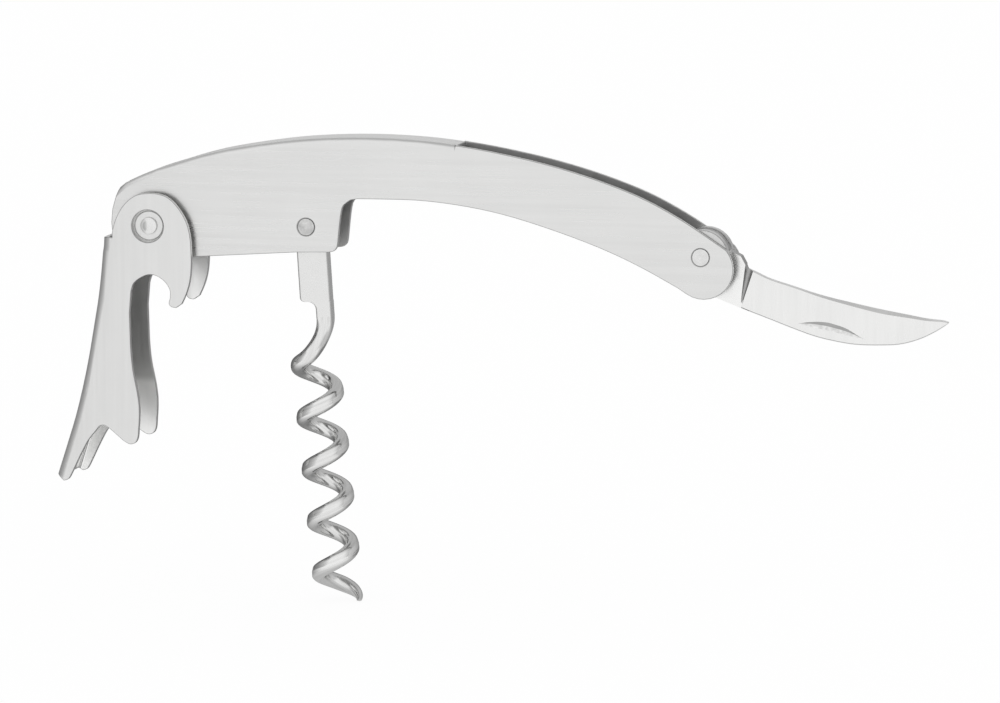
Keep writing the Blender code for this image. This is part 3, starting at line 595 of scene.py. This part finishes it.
def neck_line(start, onward):
    """Places from below the shank, straight down at first, to the start of the coil."""
    neck = Vector(((NECK_LEFT + NECK_RIGHT) / 2, 0.0, -NECK_DROP))
    down = Vector((0.0, 0.0, -1.0)) * LEAD_PULL
    line = []
    for step in range(NECK_STEPS):
        t = step / NECK_STEPS
        line.append((2 * t ** 3 - 3 * t ** 2 + 1) * neck + (t ** 3 - 2 * t ** 2 + t) * down
                    + (3 * t ** 2 - 2 * t ** 3) * start + (t ** 3 - t ** 2) * onward)
    return line


def ease(share):
    """From 0 to 1, slowly at both ends."""
    share = min(1.0, share)
    return share * share * (3 - 2 * share)


def worm_stations():
    """Rings along the worm: middle, direction across, half sizes, corner radius and flute."""
    side = Vector((1.0, 0.0, 0.0))
    stations = [(place, side, half, SHANK_HALF_THICKNESS, SHANK_EDGE, 0.0)
                for place, half in shank_rings()]
    start, wire = coil_point(-LEAD_TURNS)
    onward = (coil_point(-LEAD_TURNS + LOOK_AHEAD)[0] - start).normalized() * LEAD_PULL
    half = (NECK_RIGHT - NECK_LEFT) / 2
    length = 0.0
    line = neck_line(start, onward)
    for index, place in enumerate(line):
        length += (place - line[max(index - 1, 0)]).length
        turn = ease(length / NECK_LENGTH)
        across = side.slerp(-coil_outward(-LEAD_TURNS), ease(index / NECK_STEPS))
        wide = half + (wire - half) * turn
        thick = SHANK_HALF_THICKNESS + (wire - SHANK_HALF_THICKNESS) * turn
        corner = SHANK_EDGE + (ROUND_SHARE * min(wide, thick) - SHANK_EDGE) * turn
        stations.append((place, across, wide, thick, corner, 0.0))
    turns = LEAD_TURNS + TURNS_BELOW_FIRST_LEFT
    count = round(turns * STEPS_PER_TURN)
    for step in range(count + 1):
        down_turns = -LEAD_TURNS + turns * step / count
        place, wire = coil_point(down_turns)
        flute = FLUTE_DEPTH * min(1.0, step / FLUTE_IN_STEPS, (count - step) / FLUTE_OUT_STEPS)
        stations.append((place, -coil_outward(down_turns), wire, wire, ROUND_SHARE * wire, flute))
    return stations


def ring_shape(wide, thick, corner, flute):
    """A rounded rectangle, or nearly a circle, with its flute on the side away from across."""
    points = []
    for quarter, (sx, sy) in enumerate(((1, 1), (-1, 1), (-1, -1), (1, -1))):
        for step in range(CORNER_STEPS + 1):
            angle = (quarter + step / CORNER_STEPS) * TURN / 4
            off = math.remainder(angle - FLUTE_ANGLE, TURN) / FLUTE_SPREAD
            reach = corner - flute * math.exp(-off ** FLUTE_SQUARENESS)
            points.append((sx * (wide - corner) + reach * math.cos(angle),
                           sy * (thick - corner) + reach * math.sin(angle)))
    return points


def make_worm():
    """The worm's vertices carry their place along and across the wire for its drawn marks."""
    pivot = axis_of("worm_rivet")
    hang = Matrix.Translation((pivot[0], 0.0, pivot[1])) @ Matrix.Rotation(-WORM_TILT, 4, "Y")
    shape = bmesh.new()
    straight = shape.verts.layers.float_vector.new("straight")
    stations = worm_stations()
    level_rings = len(shank_rings())
    rings = []
    travelled = 0.0
    for index, (place, across, wide, thick, corner, flute) in enumerate(stations):
        before = stations[max(index - 1, 0)][0]
        after = stations[min(index + 1, len(stations) - 1)][0]
        travelled += (place - before).length
        direction = (after - before).normalized()
        if index < level_rings:
            direction = Vector((0.0, 0.0, -1.0))
        width_way = (across - across.dot(direction) * direction).normalized()
        depth_way = width_way.cross(direction)
        slant = TIP_SLANT if index == len(stations) - 1 else 0.0
        ring = []
        for sideways, deep in ring_shape(wide, thick, corner, flute):
            spot = place + width_way * sideways + depth_way * deep + direction * slant * deep
            vertex = shape.verts.new(hang @ spot)
            vertex[straight] = (travelled, sideways, deep)
            ring.append(vertex)
        rings.append(ring)
    sides = len(rings[0])
    for index, (first, second) in enumerate(zip(rings, rings[1:])):
        for step in range(sides):
            after = (step + 1) % sides
            face = shape.faces.new((first[step], second[step], second[after], first[after]))
            face.material_index = SHANK if index < level_rings else WIRE
    shape.faces.new(rings[0])
    shape.faces.new(rings[-1][::-1])
    bmesh.ops.recalc_face_normals(shape, faces=shape.faces)
    shape = carve(shape, [("DIFFERENCE", bore_pin(pivot, 2 * SHANK_HALF_THICKNESS))])
    new_piece("worm", shape, [wire_steel, shank_steel], "worm", WORM_SHARP_ANGLE)


# Blade, drawn from the knife's rivet

def smooth_line(points):
    """A curve through the points."""
    places = [Vector(point) for point in points]
    line = []
    for index in range(len(places) - 1):
        start, end = places[index], places[index + 1]
        before = places[max(index - 1, 0)]
        after = places[min(index + 2, len(places) - 1)]
        for step in range(CURVE_STEPS):
            t = step / CURVE_STEPS
            line.append(0.5 * (2 * start + (end - before) * t
                               + (2 * before - 5 * start + 4 * end - after) * t ** 2
                               + (3 * start - before - 3 * end + after) * t ** 3))
    return line + [places[-1]]


def evenly(line, count):
    """The line again, as points at equal distances along it."""
    lengths = [0.0]
    for first, second in zip(line, line[1:]):
        lengths.append(lengths[-1] + (second - first).length)
    spots = []
    piece = 0
    for step in range(count + 1):
        goal = lengths[-1] * step / count
        while piece < len(line) - 2 and lengths[piece + 1] < goal:
            piece += 1
        share = (goal - lengths[piece]) / (lengths[piece + 1] - lengths[piece])
        spots.append(line[piece].lerp(line[piece + 1], min(1.0, share)))
    return spots


def from_knife(shares, pivot):
    """Places given as shares of the blade's length from the knife's rivet."""
    return [Vector((pivot[0] + x * BLADE_LENGTH, pivot[1] + z * BLADE_LENGTH)) for x, z in shares]


def grind_width(share):
    """The bevel along the cutting edge: narrow at the tang, widest before the point."""
    if share < GRIND_WIDEST_SHARE:
        rise = max(0.0, (share - GRIND_START_SHARE) / (GRIND_WIDEST_SHARE - GRIND_START_SHARE))
        return GRIND_NARROW + (GRIND_WIDE - GRIND_NARROW) * ease(rise)
    fall = (share - GRIND_WIDEST_SHARE) / (1 - GRIND_WIDEST_SHARE)
    return GRIND_WIDE * (1 - GRIND_FALL * fall)


def blade_body(pivot):
    """The ground blade: flat sides, a rounded back and a bevel to the cutting edge."""
    top = evenly(smooth_line(from_knife(BLADE_TOP_SHARES, pivot)), BLADE_STATIONS)
    back = evenly(smooth_line(from_knife(BLADE_BACK_SHARES, pivot)), BLADE_STATIONS)
    shape = bmesh.new()
    rings = []
    for index, (edge, spine) in enumerate(zip(top, back)):
        span = (spine - edge).length
        into = (spine - edge).normalized()
        grind = min(grind_width(index / BLADE_STATIONS), GRIND_MOST * span)
        turn = min(BACK_ROUND, BACK_ROUND_MOST * span)
        near = [(edge, EDGE_HALF), (edge + into * grind, BLADE_HALF),
                (spine - into * turn, BLADE_HALF), (spine, BLADE_HALF - turn)]
        ring = [shape.verts.new((spot.x, -depth, spot.y)) for spot, depth in near]
        ring += [shape.verts.new((spot.x, depth, spot.y)) for spot, depth in near[::-1]]
        rings.append(ring)
    skin(shape, rings)
    shape.faces.new(rings[0][::-1])
    shape.faces.new(rings[-1])
    bmesh.ops.recalc_face_normals(shape, faces=shape.faces)
    return shape


def tang_plate(pivot):
    """The thicker plate round the rivet: a round heel, the shoulder and the foot."""
    turn = [HEEL_START - HEEL_TURN * step / HEEL_STEPS for step in range(HEEL_STEPS + 1)]
    corners = [tuple(spot) for spot in from_knife(TANG_SHOULDER_SHARES + TANG_FOOT_SHARES, pivot)]
    return prism(circle(pivot, TANG_RADIUS, turn) + corners, -TANG_HALF, TANG_HALF)


def nick_arch(pivot):
    """The nail nick's outline, the way from its chord to its wall, and how far that is."""
    arch = smooth_line(from_knife(NICK_SHARES, pivot))
    chord = arch[-1] - arch[0]
    away = Vector((-chord.y, chord.x)).normalized()
    return arch, away, max((spot - arch[0]).dot(away) for spot in arch)


def nick_wedge(pivot):
    """The nail nick's cutter: its floor slopes from the chord down to a steep curved wall."""
    arch, away, farthest = nick_arch(pivot)
    outside = -BLADE_HALF - OVERRUN
    shape = prism([tuple(spot) for spot in arch], outside, -BLADE_HALF)
    for vertex in shape.verts:
        height = (Vector((vertex.co.x, vertex.co.z)) - arch[0]).dot(away) / farthest
        inset = NICK_WALL * max(0.0, height)
        if vertex.co.y > outside + OVERRUN / 2:
            vertex.co.y += NICK_DEPTH * max(0.0, height) - NICK_SKIN
        else:
            inset *= -OVERRUN / NICK_DEPTH
        vertex.co.x -= away.x * inset
        vertex.co.z -= away.y * inset
    return shape


def plunge_cone(pivot, side):
    """The mark of the grinding wheel where the blade begins: deep above, running out below."""
    top, foot = from_knife([PLUNGE_TOP_SHARE, PLUNGE_FOOT_SHARE], pivot)
    direction = (foot - top).normalized()
    top = top - direction * OVERRUN
    shape = bmesh.new()
    bmesh.ops.create_cone(shape, cap_ends=True, segments=PLUNGE_SIDES, radius1=PLUNGE_RADIUS,
                          radius2=PLUNGE_FOOT_RADIUS, depth=(foot - top).length)
    middle = (top + foot) / 2
    along = Vector((direction.x, 0.0, direction.y))
    turn = Vector((0.0, 0.0, 1.0)).rotation_difference(along).to_matrix().to_4x4()
    place = Matrix.Translation((middle.x, side * (BLADE_HALF + PLUNGE_LIFT), middle.y))
    bmesh.ops.transform(shape, verts=shape.verts, matrix=place @ turn)
    return shape


def blade_finish(face, plunge, nick):
    """Which finish a face of the knife has, told by where it lies and how it is turned; some take
    the dark plunge steel as painted shade.
    """
    middle = face.calc_center_median()
    side = abs(face.normal.y)
    if abs(middle.y) > BLADE_HALF + WELD_DISTANCE:
        return TANG
    if middle.x < plunge and side < LEVEL_SLOPE:
        return PLUNGE_AND_SHADE
    arch, away, farthest = nick
    height = (Vector((middle.x, middle.z)) - arch[0]).dot(away)
    sunk = -BLADE_HALF + WELD_DISTANCE < middle.y < 0
    if sunk and 0 < height < farthest and arch[0].x < middle.x < arch[-1].x:
        slope = Vector((face.normal.x, face.normal.z)).dot(away)
        # Painted shade: the nick's wall, turned back towards its chord, takes the dark plunge steel
        return PLUNGE_AND_SHADE if slope < 0 else NICK
    return BLADE if side > SIDE_SLOPE else GRIND


def make_blade():
    """The knife: blade and tang joined, then nick, wheel marks and bore cut."""
    pivot = axis_of("knife_rivet")
    shape = carve(blade_body(pivot), [
        ("UNION", tang_plate(pivot)),
        ("DIFFERENCE", nick_wedge(pivot)),
        ("DIFFERENCE", plunge_cone(pivot, -1)),
        ("DIFFERENCE", plunge_cone(pivot, 1)),
        ("DIFFERENCE", bore_pin(pivot, 2 * TANG_HALF))])
    bmesh.ops.remove_doubles(shape, verts=shape.verts, dist=CARVED_WELD)
    bmesh.ops.dissolve_limit(shape, angle_limit=CARVED_FLAT_ANGLE, verts=shape.verts,
                             edges=shape.edges)
    shape.normal_update()
    plunge = pivot[0] + PLUNGE_TOP_SHARE[0] * BLADE_LENGTH
    nick = nick_arch(pivot)
    for face in shape.faces:
        face.material_index = blade_finish(face, plunge, nick)
    piece = new_piece("knife_blade", shape,
                      [blade_steel, grind_steel, tang_steel, plunge_shade_steel, nick_steel], "knife")
    soften = piece.modifiers.new("Soft edges", "BEVEL")
    soften.width = SOFT_EDGE
    soften.segments = 2
    soften.limit_method = "ANGLE"
    soften.angle_limit = SOFT_ANGLE
    even_normals(piece)


# Studio

def sheet(name, corners, material):
    """A flat sheet of the studio with these four corners."""
    mesh = bpy.data.meshes.new(name)
    mesh.from_pydata(corners, [], [(0, 1, 2, 3)])
    mesh.materials.append(material)
    return new_object(name, mesh)


def make_floor():
    """A pale floor, white where it is seen, and darker to the metal behind the tool."""
    shader = Shader("white_floor")
    shader.surface.inputs["Base Color"].default_value = FLOOR_COLOUR
    shader.surface.inputs["Roughness"].default_value = FLOOR_ROUGHNESS
    path = shader.node("ShaderNodeLightPath")
    seen = shader.math("MAXIMUM", path.outputs["Is Camera Ray"], path.outputs["Is Glossy Ray"])
    seen = shader.math("MAXIMUM", seen, path.outputs["Is Transmission Ray"])
    dim = shader.ramp(shader.along("Y"), -FLOOR_FADE, FLOOR_FADE, 0.0, FLOOR_DIM, smooth=True)
    dim = shader.math("MULTIPLY", dim, path.outputs["Is Glossy Ray"])
    light = shader.node("ShaderNodeEmission", {"Strength": shader.math("SUBTRACT", 1.0, dim)})
    mix = shader.node("ShaderNodeMixShader", {0: shader.math("MULTIPLY", seen, FLOOR_GLOW),
                                              1: shader.surface.outputs[0],
                                              2: light.outputs[0]})
    shader.show(mix.outputs[0])
    half = FLOOR_SIZE / 2
    floor = sheet("floor", [(-half, -half, FLOOR_LEVEL), (half, -half, FLOOR_LEVEL),
                            (half, half, FLOOR_LEVEL), (-half, half, FLOOR_LEVEL)],
                  shader.material)


def make_card(name, start, end, top, levels):
    """A card standing near the tool, which only its metal sees, shaded from start to end."""
    start, end = Vector(start) * MM, Vector(end) * MM
    way = (end - start).normalized()
    shader = Shader(name)
    along = shader.node("ShaderNodeVectorMath", {0: shader.place(), 1: (*way, 0.0)},
                        operation="DOT_PRODUCT").outputs["Value"]
    level = shader.ramp(along, start.dot(way), end.dot(way), *levels)
    shader.show(shader.node("ShaderNodeEmission", {"Strength": level}).outputs[0])
    card = sheet(name, [(*start, FLOOR_LEVEL), (*end, FLOOR_LEVEL), (*end, top), (*start, top)],
                 shader.material)
    card.visible_camera = False
    card.visible_diffuse = False
    card.visible_shadow = False


class Sky(Shader):
    """The room round the tool: white in front, and greyer above, beside and behind it."""

    def __init__(self):
        world = bpy.data.worlds.new("studio_room")
        bpy.context.scene.world = world
        world.use_nodes = True
        self.tree = world.node_tree

    def toward(self, direction, start, end, first, last):
        """A level that goes from first to last as a ray turns towards a direction."""
        where = self.node("ShaderNodeTexCoord").outputs["Generated"]
        way = tuple(Vector(direction).normalized())
        turned = self.node("ShaderNodeVectorMath", {0: where, 1: way},
                           operation="DOT_PRODUCT").outputs["Value"]
        return self.ramp(turned, start, end, first, last, smooth=True)


def make_sky():
    """Metal sees the graded room; everything else sees plain white."""
    sky = Sky()
    front = sky.toward(FRONT_WAY, start=0.1, end=0.75, first=0.54, last=1.0)
    back = sky.toward(BACK_WAY, start=0.75, end=0.95, first=0.0, last=0.72)
    path = sky.node("ShaderNodeLightPath")
    white = sky.math("SUBTRACT", 1.0, path.outputs["Is Glossy Ray"])
    light = sky.math("MAXIMUM", sky.math("MAXIMUM", front, back), white)
    background = sky.tree.nodes["Background"]
    background.inputs["Color"].default_value = WHITE
    sky.feed(background.inputs["Strength"], light)


def make_camera():
    """The photograph's view."""
    data = bpy.data.cameras.new("camera")
    data.lens = CAMERA_LENS
    data.sensor_width = CAMERA_SENSOR
    data.clip_start = CAMERA_NEAR
    data.clip_end = CAMERA_FAR
    camera = new_object("camera", data)
    back = Vector((math.sin(CAMERA_AZIMUTH) * math.cos(CAMERA_ELEVATION),
                   -math.cos(CAMERA_AZIMUTH) * math.cos(CAMERA_ELEVATION),
                   math.sin(CAMERA_ELEVATION)))
    camera.location = CAMERA_TARGET + back * CAMERA_DISTANCE
    camera.rotation_mode = "QUATERNION"
    camera.rotation_quaternion = (-back).to_track_quat("-Z", "Y")
    bpy.context.scene.camera = camera


finer("handle_shell", "handle", [handle_steel, edge_steel, channel_steel],
      CHANNEL_HALF, Vector((0.0, 0.0, 1.0)))
finer("lever", "lever", [lever_steel, edge_steel, lever_inside],
      LEVER_INSIDE_HALF, Vector((-1.0, 0.0, 0.0)))
for washer in ("worm_spacer_front", "worm_spacer_rear", "knife_spacer_front",
               "knife_spacer_rear"):
    finer(washer, "handle", [washer_steel, edge_steel])
finer("back_spring", "handle", [leaf_steel, edge_steel])
make_rivet("lever_rivet", DOME_RISE, DOME_LIP,
           [(HEAD_RADIUS, HEAD_EDGE), (RIVET_RADIUS, HEAD_EDGE)], level=0.78, blotch=0.03)
make_rivet("worm_rivet", FLUSH_DOME_RISE, FLUSH_LIP, [(RIVET_RADIUS, COUNTERSINK_DEPTH)],
           level=0.57, blotch=0.13)
make_rivet("knife_rivet", FLUSH_DOME_RISE, FLUSH_LIP, [(RIVET_RADIUS, COUNTERSINK_DEPTH)],
           level=0.74, blotch=0.06)
make_worm()
make_blade()

bpy.context.scene.view_settings.view_transform = "Standard"
make_floor()
for name, start, end, top, levels in CARDS:
    make_card(name, start, end, top, levels)
make_sky()
make_camera()
